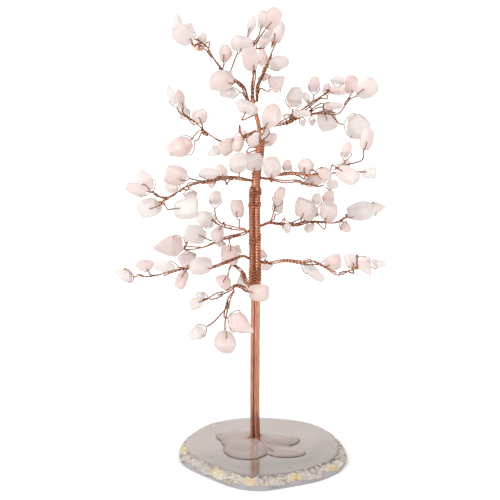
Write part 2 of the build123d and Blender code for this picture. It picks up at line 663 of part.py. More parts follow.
def resin_mound():
    middle = [share * mound_reach for share in mound_middle_shares]
    body = ringed([
        rim([m * size for m in middle], mound_reach * size, mound_rim_shares,
            slice_thick + mound_height * height)
        for size, height in mound_level_shares])
    up = np.array([0.0, 0.0, 1.0])
    low = trunk_point(foot_pixel)
    body -= tube([low - up * cut_over, low + up * (mound_height + cut_over)],
                 bore(bundle_reach, bore_sides), bore_sides)
    for run in root_runs:
        points = root_points(*run)
        points[-1] = points[-1] + unit(points[-1] - points[-2]) * cut_over
        body -= tube(points, bore(root_radius, limb_sides), limb_sides)
    return body


def trunk_parts():
    up = np.array([0.0, 0.0, 1.0])
    strand_line = [place(*p) for p in strand_line_pixels]
    bundle_line = [place(*p) for p in bundle_line_pixels]
    left, right, rear = [np.array([*about, 0]) for about in strand_places]
    runs = {
        "trunk_strand_left": ([p + left for p in strand_line], strand_radius),
        "trunk_strand_right": ([p + right for p in strand_line], strand_radius),
        "trunk_strand_rear": ([p + rear for p in strand_line + bundle_line[1:]], strand_radius),
        "wrapped_bundle_left": ([p + left for p in bundle_line], strand_radius),
        "wrapped_bundle_right": ([p + right for p in bundle_line], strand_radius),
        "wrapped_stem": ([place(*p) for p in stem_line_pixels], stem_radius),
        "leader": ([place(*p) for p in leader_line_pixels], leader_radius),
    }
    return {name: [tube(line, radius, strand_sides, up, None if name == "leader" else up)]
            for name, (line, radius) in runs.items()}


def biarc(start, start_way, end, end_way):
    """Two tangent arcs between two places, each with its own direction."""
    chord = end - start
    bend = 1 - start_way.dot(end_way)
    pull = chord.dot(start_way + end_way)
    reach = (math.sqrt(pull * pull + 2 * bend * chord.dot(chord)) - pull) / (2 * bend)
    middle = (start + end + (start_way - end_way) * reach) * 0.5
    first = Edge.make_tangent_arc(start, start_way, middle)
    return [first, Edge.make_tangent_arc(middle, first.tangent_at(1), end)]


def binding(name):
    """One unbroken wire wound round the trunk, each half turn a pair of tangent arcs."""
    low_row, high_row, half_turns = binding_rows_pixels[name]
    low, high = Vector(*trunk_point(low_row)), Vector(*trunk_point(high_row))
    reach = bundle_reach + binding_gap + binding_radius
    climb = (high - low) / half_turns
    places, ways = [], []
    for i in range(half_turns + 1):
        side = 1 if i % 2 else -1
        places.append(low + climb * i + Vector(0, side * reach, 0))
        ways.append((climb * (1 / math.pi) + Vector(-side * reach, 0, 0)).normalized())
    edges = [Edge.make_line(places[0] - ways[0] * 2 * binding_radius, places[0])]
    for i in range(half_turns):
        edges += biarc(places[i], ways[i], places[i + 1], ways[i + 1])
    edges.append(Edge.make_line(places[-1], places[-1] + ways[-1] * 2 * binding_radius))
    path = Wire(edges)
    section = Plane(origin=path @ 0, z_dir=path % 0) * RegularPolygon(binding_radius, binding_sides)
    count = turn_samples * half_turns
    points = [path @ (i / count) for i in range(count + 1)]
    gaps = [(a - b).length for i, a in enumerate(points) for b in points[i + next_turn_samples:]]
    print(name, "least gap to itself", round(min(gaps) - 2 * binding_radius, 2))
    return sweep(section, path, clean=False).solid()


def spray_parts():
    limbs, laid = lay_sprays()
    parts = {}
    for name, spray in limbs.items():
        if name != "heart":
            parts[f"{name}_limb"] = [tube(points, radius, limb_sides) for points, radius, _ in spray]
        chips, twigs = [], []
        for chip, twig in laid[name]:
            chips.append(chip.solid())
            twigs += [tube(twig, twig_radius, wire_sides, None, chip.up), chip.loop()]
        parts[f"{name}_chips"] = chips
        parts[f"{name}_twigs"] = twigs
    return parts


def build():
    parts = {"agate_slice": [agate_slice()], "resin_mound": [resin_mound()]}
    parts["root_wires"] = [tube(root_points(*run), root_radius, limb_sides) for run in root_runs]
    parts.update(trunk_parts())
    for name in binding_rows_pixels:
        parts[name] = [binding(name)]
    parts.update(spray_parts())
    return parts


if __name__ == "__main__":
    os.makedirs("parts", exist_ok=True)
    for name, solids in build().items():
        shape = solids[0] if len(solids) == 1 else Compound(children=solids)
        export_step(shape, f"parts/{name}.step")
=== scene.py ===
import math

import bmesh
import bpy
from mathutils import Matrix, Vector, noise


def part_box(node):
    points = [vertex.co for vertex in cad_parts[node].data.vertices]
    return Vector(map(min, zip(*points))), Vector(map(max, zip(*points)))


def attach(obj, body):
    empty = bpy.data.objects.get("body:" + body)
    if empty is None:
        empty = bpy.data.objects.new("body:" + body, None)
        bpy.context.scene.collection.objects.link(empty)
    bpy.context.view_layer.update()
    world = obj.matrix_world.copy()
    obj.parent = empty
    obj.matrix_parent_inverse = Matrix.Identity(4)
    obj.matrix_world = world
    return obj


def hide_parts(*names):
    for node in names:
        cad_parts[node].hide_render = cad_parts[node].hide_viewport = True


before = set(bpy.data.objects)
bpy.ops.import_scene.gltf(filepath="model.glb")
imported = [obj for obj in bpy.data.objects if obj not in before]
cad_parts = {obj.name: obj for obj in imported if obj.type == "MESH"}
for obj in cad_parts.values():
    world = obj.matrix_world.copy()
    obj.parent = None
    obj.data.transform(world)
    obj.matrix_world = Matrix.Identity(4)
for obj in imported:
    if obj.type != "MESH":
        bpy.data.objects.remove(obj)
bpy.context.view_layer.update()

# Camera
# A long lens about 0.9 m in front of the tree, with the eye a little above its crown and turned
# down, so that the slice shows its polished top.
MM = 0.001
eye_place = (-3 * MM, -915 * MM, 351 * MM)
look_down_degrees = 13.74
lens = bpy.data.cameras.new("camera")
lens.lens = 112.7
lens.sensor_width = 36
camera = bpy.data.objects.new("camera", lens)
camera.location = eye_place
camera.rotation_euler = (math.radians(90 - look_down_degrees), 0, 0)
bpy.context.collection.objects.link(camera)
bpy.context.scene.camera = camera
bpy.context.scene.view_settings.view_transform = "Standard"


# Studio
# A pale table top in an even white room, with one large soft lamp high on the left and a weaker
# one on the right. Copper and polish mirror the room bright towards the window and the wall behind
# the tree, and dim elsewhere.
class Socket:
    """An output in a node tree. Plain sums on it add Math nodes, and node() adds any other."""

    def __init__(self, tree, output=None):
        self.tree, self.output = tree, output

    def node(self, kind, settings=None, sockets=None, output=0):
        """Adds a node: its settings first, then its sockets' values or links."""
        made = self.tree.nodes.new(kind)
        for name, value in (settings or {}).items():
            if name == "stops":
                stops = made.color_ramp.elements
                while len(stops) < len(value):
                    stops.new(1)
                for stop, (position, colour) in zip(stops, value):
                    stop.position, stop.color = position, (*colour, 1)
            else:
                setattr(made, name, value)
        for name, value in (sockets or {}).items():
            if isinstance(value, Socket):
                self.tree.links.new(value.output, made.inputs[name])
            else:
                made.inputs[name].default_value = value
        return Socket(self.tree, made.outputs[output])

    def sum(self, operation, *values):
        return self.node("ShaderNodeMath", {"operation": operation}, dict(enumerate(values)))

    def __add__(self, other):
        return self.sum("ADD", self, other)

    def __sub__(self, other):
        return self.sum("SUBTRACT", self, other)

    def __rsub__(self, other):
        return self.sum("SUBTRACT", other, self)

    def __mul__(self, other):
        return self.sum("MULTIPLY", self, other)

    def __truediv__(self, other):
        return self.sum("DIVIDE", self, other)

    def __rtruediv__(self, other):
        return self.sum("DIVIDE", other, self)

    __radd__, __rmul__ = __add__, __mul__


def seen_by(nodes, *kinds):
    """1 for a ray of one of these kinds, which sees a thing, and 0 for one that only lights others."""
    rays = [nodes.node("ShaderNodeLightPath", output=kind) for kind in kinds]
    seen = rays[0]
    for ray in rays[1:]:
        seen = seen.sum("MAXIMUM", seen, ray)
    return seen


def ranged(value, low, high, first, last):
    """A smooth step from first to last, between low and high."""
    return value.node("ShaderNodeMapRange", {"interpolation_type": "SMOOTHSTEP"},
                      {"Value": value, "From Min": low, "From Max": high, "To Min": first, "To Max": last})


def towards(way, aim):
    """How far a direction or a place lies along another direction."""
    return way.node("ShaderNodeVectorMath", {"operation": "DOT_PRODUCT"}, {0: way, 1: aim}, "Value")


def feed(value, entry):
    value.tree.links.new(value.output, entry)


room_light = 0.95
mirrored_dim, mirrored_window, mirrored_wall = 0.25, 1.5, 1.0
window_way, wall_way = (-0.76, -0.5, 0.41), (-0.8, 0.6, 0.1)
window_edges, wall_edges = (0.3, 0.95), (0.1, 0.6)

world = bpy.data.worlds.new("room")
world.use_nodes = True
bpy.context.scene.world = world
room = Socket(world.node_tree)
background = world.node_tree.nodes["Background"].inputs
background["Color"].default_value = (1, 1, 1, 1)
way = room.node("ShaderNodeTexCoord", output="Generated")
window = ranged(towards(way, window_way), *window_edges, mirrored_dim, mirrored_window)
wall = ranged(towards(way, wall_way), *wall_edges, mirrored_dim, mirrored_wall)
shown = seen_by(room, "Is Camera Ray", "Is Transmission Ray")
glossy = seen_by(room, "Is Glossy Ray") * (1 - shown)
strength = shown + glossy * room.sum("MAXIMUM", window, wall) + (1 - shown) * (1 - glossy) * room_light
feed(strength, background["Strength"])


def lamp(name, place, size, power):
    """A square lamp, with its place and size in metres, aimed at the lower crown."""
    light = bpy.data.lights.new(name, "AREA")
    light.size, light.energy = size, power
    made = bpy.data.objects.new(name, light)
    made.location = place
    aim = Vector((0, 0, 150 * MM)) - made.location
    made.rotation_euler = aim.to_track_quat("-Z", "Y").to_euler()
    bpy.context.collection.objects.link(made)


lamp("window", Vector((-0.75, -0.7, 0.9)), 0.5, 5)
lamp("reflector", Vector((0.9, -0.5, 0.6)), 0.6, 1)

# The table glows a little, and more the farther it is from the tree, so that it fades into the room
table_white = 0.92
table_reach = 4.0
glow_from, glow_to = 60 * MM, 700 * MM
least_glow, most_glow = 0.1, 0.6
table_top = bpy.data.materials.new("table top")
table_top.use_nodes = True
nodes = Socket(table_top.node_tree)
paper = nodes.node("ShaderNodeBsdfDiffuse", sockets={"Color": (table_white, table_white, table_white, 1)})
away = nodes.node("ShaderNodeVectorMath", {"operation": "LENGTH"},
                  {0: nodes.node("ShaderNodeTexCoord", output="Object")}, "Value")
seen = seen_by(nodes, "Is Camera Ray", "Is Glossy Ray", "Is Transmission Ray")
glow = nodes.node("ShaderNodeEmission", sockets={
    "Color": (1, 1, 1, 1), "Strength": seen * ranged(away, glow_from, glow_to, least_glow, most_glow)})
lit = nodes.node("ShaderNodeAddShader", sockets={0: paper, 1: glow})
feed(lit, table_top.node_tree.nodes["Material Output"].inputs["Surface"])

mesh = bpy.data.meshes.new("table")
table_corners = [(-table_reach, -table_reach, 0), (table_reach, -table_reach, 0),
                 (table_reach, table_reach, 0), (-table_reach, table_reach, 0)]
mesh.from_pydata(table_corners, [], [(0, 1, 2, 3)])
mesh.materials.append(table_top)
table = bpy.data.objects.new("table", mesh)
bpy.context.collection.objects.link(table)


# Agate slice
# A sawn slice of agate, polished on top, with its natural rind left on as a rough granular crust
# that slopes out to the table. The stone is grey-pink, with faint bands round its middle. The foot
# of the rind is smooth, and painted grey as the shade on that low side, and the polish is painted
# darker towards the front, as its dimmer reflection there.
def new_finish(name, **constants):
    """A material, its node tree, and its shader with the values that are the same all over."""
    material = bpy.data.materials.new(name)
    material.use_nodes = True
    shader = material.node_tree.nodes["Principled BSDF"]
    for socket, value in constants.items():
        shader.inputs[socket.replace("_", " ")].default_value = value
    return material, Socket(material.node_tree), shader.inputs


def speckle(nodes, place, scale, detail):
    """Soft spots all over, with so many to a metre."""
    return nodes.node("ShaderNodeTexNoise", sockets={"Vector": place, "Scale": scale, "Detail": detail})


def blend(nodes, share, first, second):
    """A mix of two colours, each a socket or three numbers."""
    colours = [c if isinstance(c, Socket) else (*c, 1) for c in (first, second)]
    return nodes.node("ShaderNodeMix", {"data_type": "RGBA"}, {0: share, 6: colours[0], 7: colours[1]}, 2)


def ramp(nodes, share, stops):
    return nodes.node("ShaderNodeValToRGB", {"stops": stops}, {0: share})


def bump(nodes, height, depth, strength):
    return nodes.node("ShaderNodeBump", sockets={"Height": height, "Distance": depth, "Strength": strength})


def own(nodes, name):
    """The value that the mesh itself holds for a finish."""
    return nodes.node("ShaderNodeAttribute", {"attribute_name": name}, output="Fac")


def gone_from(nodes, place, spot):
    """How far a place is from a spot."""
    return nodes.node("ShaderNodeVectorMath", {"operation": "DISTANCE"}, {0: place, 1: spot}, "Value")


def put(name, mesh, body, node):
    """A finished piece: it rides on its body, and stands for its CAD node."""
    mesh.name = name
    made = bpy.data.objects.new(name, mesh)
    bpy.context.collection.objects.link(made)
    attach(made, body)
    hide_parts(node)


def smooth_rings(rings):
    """A smooth closed mesh through rings of points, with its first and last ring filled."""
    count = len(rings[0])
    points = [point for ring in rings for point in ring]
    faces = []
    for low in range(0, len(points) - count, count):
        for i in range(count):
            j = (i + 1) % count
            faces.append((low + i, low + j, low + count + j, low + count + i))
    faces.append(tuple(range(count))[::-1])
    faces.append(tuple(range(len(points) - count, len(points))))
    mesh = bpy.data.meshes.new("rings")
    mesh.from_pydata(points, [], faces)
    mesh.polygons.foreach_set("use_smooth", [True] * len(mesh.polygons))
    return mesh


def hold(mesh, name, values):
    """Keeps a value at each corner of a mesh for its finish."""
    mesh.attributes.new(name, "FLOAT", "POINT").data.foreach_set("value", values)


def loose_parts(node):
    """The separate solids of a CAD node, each as the corners of a merged copy."""
    mesh = bmesh.new()
    mesh.from_mesh(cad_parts[node].data)
    bmesh.ops.remove_doubles(mesh, verts=mesh.verts, dist=0.001 * MM)
    bmesh.ops.dissolve_limit(mesh, angle_limit=0.001, verts=mesh.verts, edges=mesh.edges)
    parts, seen = [], set()
    for first in mesh.verts:
        if first in seen:
            continue
        part, front = set(), [first]
        while front:
            corner = front.pop()
            if corner not in part:
                part.add(corner)
                front += [edge.other_vert(corner) for edge in corner.link_edges]
        seen |= part
        parts.append(sorted(part, key=lambda corner: corner.index))
    return mesh, parts


def rounded(a, b, c, d, t):
    """The point at share t between b and c, on the curve that runs smoothly through all four."""
    return 0.5 * (2 * b + (c - a) * t + (2 * a - 5 * b + 4 * c - d) * t * t
                  + (3 * b - a - 3 * c + d) * t ** 3)


def corner_ring(corners, low, high):
    """The corners that lie between two shares of the slice's height, in turn round it."""
    ring = [point for point in corners if low < point.z / slice_top < high]
    middle = sum(ring, Vector()) / len(ring)
    return sorted(ring, key=lambda point: math.atan2(point.y - middle.y, point.x - middle.x))


def ring_point(ring, share):
    """A point on a ring of corners at a share of its run, rounded between them."""
    share *= len(ring)
    i = int(share)
    return rounded(*(ring[(i + k) % len(ring)] for k in (-1, 0, 1, 2)), share - i)


def crust(point, size):
    """How far the crust stands out at a point: lumps of a size, and finer ones on them."""
    return noise.noise(point / size) * 0.6 + noise.noise(point / size * 2.3) * 0.4


def held(value):
    """A number kept between 0 and 1."""
    return min(1, max(0, value))


def greyness(foot, height):
    """1 in the smooth foot of the rind, which is painted grey as its shade, and 0 above it. It reaches a
    little higher on the right.
    """
    top = 0.42 + 0.3 * noise.noise(foot / (11 * MM)) + 0.12 * noise.noise(foot / (4 * MM)) + foot.x
    return held((top - height) / 0.05)


# The slice's widest rim, and the brim of its polished face
slice_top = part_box("agate_slice")[1].z
copy, parts = loose_parts("agate_slice")
slice_corners = [corner.co.copy() for corner in parts[0]]
copy.free()
rim, brim = corner_ring(slice_corners, 0.3, 0.5), corner_ring(slice_corners, 0.95, 1.05)
slice_middle = sum(brim, Vector()) / len(brim)

# The crust in section, from the table to the polished face: shares of the way in from the widest
# rim to the brim, and of the slice's height. Past the brim the polish still dips with the lumps.
slice_turns = 420
lump_size, pebble_size, grain_size, patch_size = 7 * MM, 2.4 * MM, 0.8 * MM, 3 * MM
pebble_climb, grain_climb = 20 * MM, 7 * MM
crust_profile = [(0, 0.0), (0, 0.06), (0, 0.14), (0, 0.22), (0, 0.3), (0, 0.38), (0.02, 0.45), (0.06, 0.52),
                 (0.13, 0.6), (0.22, 0.67), (0.32, 0.74), (0.42, 0.8), (0.52, 0.86), (0.62, 0.9),
                 (0.72, 0.94), (0.8, 0.965), (0.87, 0.985), (0.94, 1.0), (1.0, 1.0), (1.15, 1.0),
                 (1.35, 1.0), (1.6, 1.0)]
face_shares = (0.9, 0.7, 0.4, 0.12)
rings, rinds, greys = [], [], []
for inward, height in crust_profile:
    ring = []
    for k in range(slice_turns):
        # The grey foot is set back and smooth, and the crust above it stands out in lumps and grain
        foot, top = ring_point(rim, k / slice_turns), ring_point(brim, k / slice_turns)
        out = Vector((foot.x - top.x, foot.y - top.y, 0)).normalized()
        edge = foot.lerp(top, inward)
        lump = crust(foot, lump_size) + crust(edge + Vector((0, 0, height * pebble_climb)), pebble_size)
        grain = crust(edge + Vector((0, 0, height * grain_climb)), grain_size)
        grey = greyness(foot, height)
        rough = min(1, 6 * (1 - inward)) * (1 - grey)
        back = (0.25 + 0.8 * grey + 0.6 * lump * (1 - 0.6 * grey) * (1 - inward) - 0.3 * grain * rough) * MM
        back = max(0, back) * max(0, 1 - inward)
        rise = slice_top * height + rough * (lump * 0.55 + grain * 0.6 - 0.35) * min(1, 3 * height) * MM
        level = min(rise, slice_top) if height else 0
        ring.append(Vector((edge.x - out.x * back, edge.y - out.y * back, level)))
        rinds.append(held((1 - inward) * 2.4 + 1.4 * crust(edge, patch_size)))
        greys.append(grey)
    rings.append(ring)
face_edge = [Vector((point.x, point.y, slice_top)) for point in rings[-1]]
for share in face_shares:
    rings.append([slice_middle + (point - slice_middle) * share for point in face_edge])
mesh = smooth_rings(rings)
face_rest = [0.0] * slice_turns * len(face_shares)
hold(mesh, "rind", rinds + face_rest)
hold(mesh, "grey", greys + face_rest)

agate, nodes, shader = new_finish("polished agate", Coat_IOR=1.5, Coat_Roughness=0.03)
place = nodes.node("ShaderNodeTexCoord", output="Object")
black, white = (0, 0, 0), (1, 1, 1)
stripe_pink, haze_grey, painted_foot_shade = (0.44, 0.355, 0.31), (0.46, 0.42, 0.41), (0.42, 0.395, 0.41)
rust_yellow, rust_orange = (0.72, 0.61, 0.33), (0.62, 0.27, 0.08)

# The polished face: painted darker to the front for its dimmer reflection there, with faint stripes that
# wander round its middle
stripes_middle = (slice_middle.x, slice_middle.y + 4 * MM, slice_top)
stripe_rate, stripe_wander = 330, 9
stripes = gone_from(nodes, place, stripes_middle) * stripe_rate
stripes = stripes + speckle(nodes, place, 28, 4) * stripe_wander
stripes = stripes.sum("SINE", stripes) * 0.5 + 0.5
# Painted shade: towards the front the polish is coloured darker, for the dimmer reflection it shows there
painted_front_dimming = ranged(towards(place, (0.25, -1, 0)), -0.02, 0.07, 0, 0.45)
face = ramp(nodes, speckle(nodes, place, 17, 2) * 0.6 + painted_front_dimming,
            [(0.25, (0.42, 0.34, 0.29)), (0.45, (0.34, 0.27, 0.23)), (0.75, (0.22, 0.175, 0.145))])
face = blend(nodes, stripes * 0.2, face, stripe_pink)

# The crust: grains of four tones, hazed with grey in places
grains, lumps = speckle(nodes, place, 480, 3), speckle(nodes, place, 150, 3)
shell = ramp(nodes, grains * 0.6 + lumps * 0.4, [(0.36, (0.24, 0.20, 0.17)), (0.45, (0.44, 0.385, 0.34)),
                                                 (0.52, (0.58, 0.51, 0.43)), (0.62, (0.76, 0.69, 0.59))])
hazy = ramp(nodes, speckle(nodes, place, 75, 2), [(0.42, black), (0.62, white)])
shell = blend(nodes, hazy * 0.55, shell, haze_grey)

# Rusty spots in the crust: where each lies, and how far its yellow deepens to orange
rust_spots = (((23.3, -57.7), 0.8), ((-3.6, -63), 0.2), ((-22.5, -49.9), 0), ((45.8, -42), 0.6),
              ((-43.5, -12), 0))
rust_level, rust_reach = 3.8 * MM, 7 * MM
for (across, along), deepened in rust_spots:
    near = gone_from(nodes, place, (across * MM, along * MM, rust_level)) / rust_reach
    near = near + (grains + lumps - 1) * 1.3
    yellowed = ramp(nodes, near, [(0.25, white), (0.75, black)])
    reddened = ramp(nodes, near, [(0.05, white), (0.3, black)])
    shell = blend(nodes, yellowed * 0.7, shell, rust_yellow)
    shell = blend(nodes, reddened * deepened, shell, rust_orange)
# Painted shade: the foot of the rind is coloured a darker grey, for the shade on that low side
shaded_foot = own(nodes, "grey")
shell = blend(nodes, shaded_foot, shell, painted_foot_shade)

# The face is polished, the crust is matt and grained, and the grey foot is matt without grain
border = ramp(nodes, own(nodes, "rind") + (grains - 0.5) * 1.2, [(0.3, black), (0.45, white)])
feed(blend(nodes, border, face, shell), shader["Base Color"])
feed(border * 0.5 + 0.2, shader["Roughness"])
feed((1 - border) * 0.9, shader["Coat Weight"])
feed(bump(nodes, (grains + lumps) * border * (1 - shaded_foot), 0.8 * MM, 0.8), shader["Normal"])
mesh.materials.append(agate)
put("polished_slice", mesh, "tree", "agate_slice")


# Resin mound
# Clear resin poured on the slice round the foot of the trunk. It ran out in rounded lobes and set
# glossy, so that the roots and the stone show through it, bent by its surface. Its colour is painted
# darker where its surface slopes sharply, as shade at the edges of its lobes.
resin_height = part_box("resin_mound")[1].z - slice_top
resin_sunk = 0.2 * MM
resin_full = 0.95
farthest, reach_step = 36 * MM, 0.1 * MM
mound_turns, mound_levels, innermost = 160, 26, 0.02
mound_middle = Vector((2 * MM, -7 * MM, 0))

# Each lobe's middle from the trunk and its half sizes, in millimetres, and its share of the height.
# The higher lobe_meeting is, the sharper one lobe meets the next.
lobe_meeting = 8
resin_lobes = [((-5, -16.5), (14.5, 17.5), 0.6), ((12, -1), (16, 12.5), 0.55), ((19, -22), (12, 8.5), 0.4),
               ((-9, 6), (15.5, 14), 0.5), ((8, -13), (14, 12), 0.3), ((-12, -5), (9, 9), 0.4)]
tent_foot, tent_gain, tent_reach = 0.66, 0.8, 24 * MM


def resin_rise(x, y):
    """How high the resin stands above the slice: its lobes run together, and drawn up to the trunk."""
    total = 0.0
    for (across, back), (wide, deep), share in resin_lobes:
        gone = ((x / MM - across) / wide) ** 2 + ((y / MM - back) / deep) ** 2
        if gone < 1:
            total += (share * (1 - gone) ** 0.5) ** lobe_meeting
    tent = tent_foot + tent_gain * max(0, 1 - math.hypot(x, y) / tent_reach)
    return min(1, total ** (1 / lobe_meeting) * tent) * resin_height * resin_full


reaches = []
for k in range(mound_turns):
    turn = math.tau * k / mound_turns
    way = Vector((math.cos(turn), math.sin(turn), 0))
    far = farthest
    while far > MM and resin_rise(*(mound_middle + way * far).xy) <= 0:
        far -= reach_step
    reaches.append(way * far)
outline = [mound_middle + reach for reach in reaches]
rings = [[Vector((p.x, p.y, slice_top - resin_sunk)) for p in outline],
         [Vector((p.x, p.y, slice_top)) for p in outline]]
shares = [math.sin(math.pi / 2 * (mound_levels - level) / mound_levels) for level in range(1, mound_levels)]
for share in (*shares, innermost):
    ring = [mound_middle + reach * share for reach in reaches]
    rings.append([Vector((p.x, p.y, slice_top + resin_rise(p.x, p.y))) for p in ring])
mesh = smooth_rings(rings)
# How sharply the resin slopes at each corner, for its painted shade
hold(mesh, "steep", [1 - vertex.normal.z for vertex in mesh.vertices])

resin, nodes, shader = new_finish("clear resin", Transmission_Weight=0.7, IOR=1.5, Roughness=0.03)
place = nodes.node("ShaderNodeTexCoord", output="Object")
# Painted shade: pale where the resin is flat, dark where it slopes sharply at the lobes' edges
feed(ramp(nodes, own(nodes, "steep"),
          [(0.006, (0.84, 0.71, 0.65)), (0.03, (0.64, 0.53, 0.475)), (0.13, (0.20, 0.15, 0.125))]),
     shader["Base Color"])
feed(bump(nodes, speckle(nodes, place, 75, 1), 1.6 * MM, 0.8), shader["Normal"])

# Light goes straight through the resin, so that it throws no dark shadow on the stone
clear = nodes.node("ShaderNodeBsdfTransparent", sockets={"Color": (0.98, 0.97, 0.96, 1)})
shadow = nodes.node("ShaderNodeLightPath", output="Is Shadow Ray")
glass = Socket(resin.node_tree, resin.node_tree.nodes["Principled BSDF"].outputs[0])
feed(nodes.node("ShaderNodeMixShader", sockets={0: shadow, 1: glass, 2: clear}),
     resin.node_tree.nodes["Material Output"].inputs["Surface"])
mesh.materials.append(resin)
put("cast_resin", mesh, "tree", "resin_mound")


# Roots and trunk
# Three thick smooth copper rods stand side by side in the lower trunk. Above the knot they are two
# bundles and a stem, closely wrapped in finer wire, and at the top one bare twisted leader. The
# roots are twisted wires that fan out in the resin.
def new_tool(name, inputs):
    """An empty Geometry Nodes tree with named inputs, and what it starts from as sockets."""
    tree = bpy.data.node_groups.new(name, "GeometryNodeTree")
    tree.interface.new_socket("Geometry", in_out="INPUT", socket_type="NodeSocketGeometry")
    for label, kind in inputs.items():
        tree.interface.new_socket(label, in_out="INPUT", socket_type="NodeSocket" + kind)
    tree.interface.new_socket("Geometry", in_out="OUTPUT", socket_type="NodeSocketGeometry")
    start = tree.nodes.new("NodeGroupInput")
    return tree, {output.name: Socket(tree, output) for output in start.outputs if output.name}


def finish_tool(tree, shape, material):
    """Ends a tree in a smooth, real mesh with its material."""
    shape = shape.node("GeometryNodeSetShadeSmooth", sockets={0: shape})
    shape = shape.node("GeometryNodeRealizeInstances", sockets={0: shape})
    shape = shape.node("GeometryNodeSetMaterial", sockets={0: shape, "Material": material})
    feed(shape, tree.nodes.new("NodeGroupOutput").inputs[0])


def worked(mesh, tree, values):
    """The plain mesh that a tree makes of another."""
    made = bpy.data.objects.new("worked", mesh)
    bpy.context.collection.objects.link(made)
    modifier = made.modifiers.new("worked", "NODES")
    modifier.node_group = tree
    for entry in tree.interface.items_tree:
        if entry.in_out == "INPUT" and entry.name in values:
            modifier[entry.identifier] = values[entry.name]
    graph = bpy.context.evaluated_depsgraph_get()
    result = bpy.data.meshes.new_from_object(made.evaluated_get(graph), depsgraph=graph)
    bpy.data.objects.remove(made)
    return result


def scaled(vector, size):
    return vector.node("ShaderNodeVectorMath", {"operation": "SCALE"}, {0: vector, "Scale": size})


def added(first, second):
    return first.node("ShaderNodeVectorMath", {"operation": "ADD"}, {0: first, 1: second})


# Strands wound about a line at a reach from it. Each keeps a painted shade: most where it passes in
# front of or behind the line as the camera looks, where twisted strands cross and shade each other.
backwards = (0, 1, 0)
wire_tool, wire = new_tool("wound wire", {
    "Strands": "Int", "Reach": "Float", "Pitch": "Float", "Lean": "Float", "Wire radius": "Float",
    "Step": "Float", "Sides": "Int", "Crossing shade": "Float", "Finish": "Material"})
line = wire["Geometry"].node("GeometryNodeMeshToCurve", sockets={0: wire["Geometry"]})
line = line.node("GeometryNodeResampleCurve", {"mode": "LENGTH"}, {"Curve": line, "Length": wire["Step"]})
strands = line.node("GeometryNodeDuplicateElements", {"domain": "SPLINE"},
                    {"Geometry": line, "Amount": wire["Strands"]})
which = Socket(wire_tool, strands.output.node.outputs["Duplicate Index"])
along = line.node("GeometryNodeSplineParameter", output="Length")
turn = (along / wire["Pitch"] + which / wire["Strands"]) * math.tau
normal = line.node("GeometryNodeInputNormal")
tangent = line.node("GeometryNodeInputTangent")
across = line.node("ShaderNodeVectorMath", {"operation": "CROSS_PRODUCT"}, {0: tangent, 1: normal})
cosine, sine = turn.sum("COSINE", turn), turn.sum("SINE", turn)
aside = added(scaled(normal, cosine), scaled(across, sine))
shift = added(scaled(aside, wire["Reach"]), scaled(tangent, cosine * wire["Lean"]))
# Painted shade: darkest where a strand lies straight in front of or behind the line
crossing = towards(aside, backwards)
marked = line.node("GeometryNodeStoreNamedAttribute", {"data_type": "FLOAT", "domain": "POINT"},
                   {"Geometry": strands, "Name": "dull", "Value": crossing * crossing * wire["Crossing shade"]})
wound = line.node("GeometryNodeSetPosition", sockets={"Geometry": marked, "Offset": shift})
section = line.node("GeometryNodeCurvePrimitiveCircle", {"mode": "RADIUS"},
                    {"Resolution": wire["Sides"], "Radius": wire["Wire radius"]})
tube = line.node("GeometryNodeCurveToMesh", sockets={"Curve": wound, "Profile Curve": section,
                                                     "Fill Caps": True})
finish_tool(wire_tool, tube, wire["Finish"])


def wires(lines, finish, radius, strands=1, reach=0.0, pitch=1.0, lean=0.0, step=0.4 * MM, sides=6,
          crossing_shade=0.0):
    """Wires wound or twisted about lines, at a reach from them, one turn to each pitch."""
    mesh = bpy.data.meshes.new("lines")
    edges, points = [], []
    for run in lines:
        edges += [(len(points) + i, len(points) + i + 1) for i in range(len(run) - 1)]
        points += run
    mesh.from_pydata(points, edges, [])
    return worked(mesh, wire_tool, {"Strands": strands, "Reach": reach, "Pitch": pitch, "Lean": lean,
                                    "Wire radius": radius, "Step": step, "Sides": sides,
                                    "Crossing shade": crossing_shade, "Finish": finish})


def together(meshes):
    """Several meshes as one, each with its own material."""
    objects = [bpy.data.objects.new("part", mesh) for mesh in meshes]
    for made in objects:
        bpy.context.collection.objects.link(made)
    with bpy.context.temp_override(active_object=objects[0], selected_editable_objects=objects):
        bpy.ops.object.join()
    mesh = objects[0].data
    bpy.data.objects.remove(objects[0])
    return mesh


def middle_lines(node, sides):
    """The middle lines of a node's flat-sided wires: the centres of their rings of corners."""
    copy, parts = loose_parts(node)
    lines = []
    for part in parts:
        ends = [face for corner in part for face in corner.link_faces if len(face.verts) == sides]
        ring, seen, line = set(ends[0].verts), set(), []
        while ring:
            line.append(sum((corner.co for corner in ring), Vector()) / len(ring))
            seen |= ring
            ring = {edge.other_vert(corner) for corner in ring for edge in corner.link_edges} - seen
        lines.append(line)
    copy.free()
    return lines


def smooth_line(points, step=0.8 * MM):
    """A line that passes smoothly through points."""
    points = [2 * points[0] - points[1], *points, 2 * points[-1] - points[-2]]
    line = [points[1]]
    for a, b, c, d in zip(points, points[1:], points[2:], points[3:]):
        count = max(2, round((c - b).length / step))
        line += [rounded(a, b, c, d, i / count) for i in range(1, count + 1)]
    return line


def started(line, measure):
    """The line, run from its end that measures less."""
    return line if measure(line[0]) < measure(line[-1]) else line[::-1]


